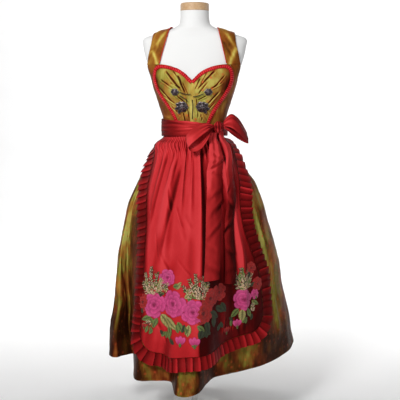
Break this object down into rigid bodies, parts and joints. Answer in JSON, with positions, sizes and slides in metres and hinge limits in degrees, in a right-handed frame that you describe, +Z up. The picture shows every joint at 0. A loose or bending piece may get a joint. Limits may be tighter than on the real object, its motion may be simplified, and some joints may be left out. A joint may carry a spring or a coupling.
{
  "type": "dirndl on a dress form",
  "caption": "Long dirndl with heart neckline, lacing clasps, ruffled red apron and bow sash, standing on a limbless dress form with a round base.",
  "frame": {"origin": "underside of the round stand base, at its middle, on the floor", "axes": "+Z up, the dress faces -Y, the wearer's left is +X"},
  "size_m": [0.7568, 0.8386, 1.6554],
  "materials": {
    "shot_taffeta": "olive-gold and rust shot taffeta, glossy",
    "red_taffeta": "red taffeta, glossy",
    "red_trim": "ruched red taffeta ribbon",
    "embroidery_thread": "pink, red and green silky thread",
    "antique_metal": "antiqued, dark in the hollows",
    "lace_cord": "thin dark cord",
    "form_cloth": "smooth off-white jersey over a hard shell",
    "beech": "clear lacquer",
    "white_metal": "white satin"
  },
  "bodies": {
    "root": {"form_torso": "form_cloth", "neck_cap": "beech", "stand_pole": "white_metal", "stand_base": "white_metal", "front_left": "shot_taffeta", "front_right": "shot_taffeta", "placket": "shot_taffeta", "side_left": "shot_taffeta", "side_right": "shot_taffeta", "back_side_left": "shot_taffeta", "back_side_right": "shot_taffeta", "back_centre": "shot_taffeta", "strap_left": "shot_taffeta", "strap_right": "shot_taffeta", "trim_left": "red_trim", "trim_right": "red_trim", "clasp_upper_left": "antique_metal", "clasp_upper_right": "antique_metal", "clasp_lower_left": "antique_metal", "clasp_lower_right": "antique_metal", "lace_left_upper": "lace_cord", "lace_left_lower": "lace_cord", "lace_right_upper": "lace_cord", "lace_centre": "lace_cord", "skirt_front": "shot_taffeta", "skirt_back": "shot_taffeta", "apron": "red_taffeta", "ruffle_right": "red_taffeta", "ruffle_bottom": "red_taffeta", "ruffle_left": "red_taffeta", "sash": "red_taffeta", "bow_knot": "red_taffeta", "bow_loop_right": "red_taffeta", "bow_loop_left": "red_taffeta", "bow_tail_left": "red_taffeta", "bow_tail_right": "red_taffeta"}
  },
  "joints": []
}
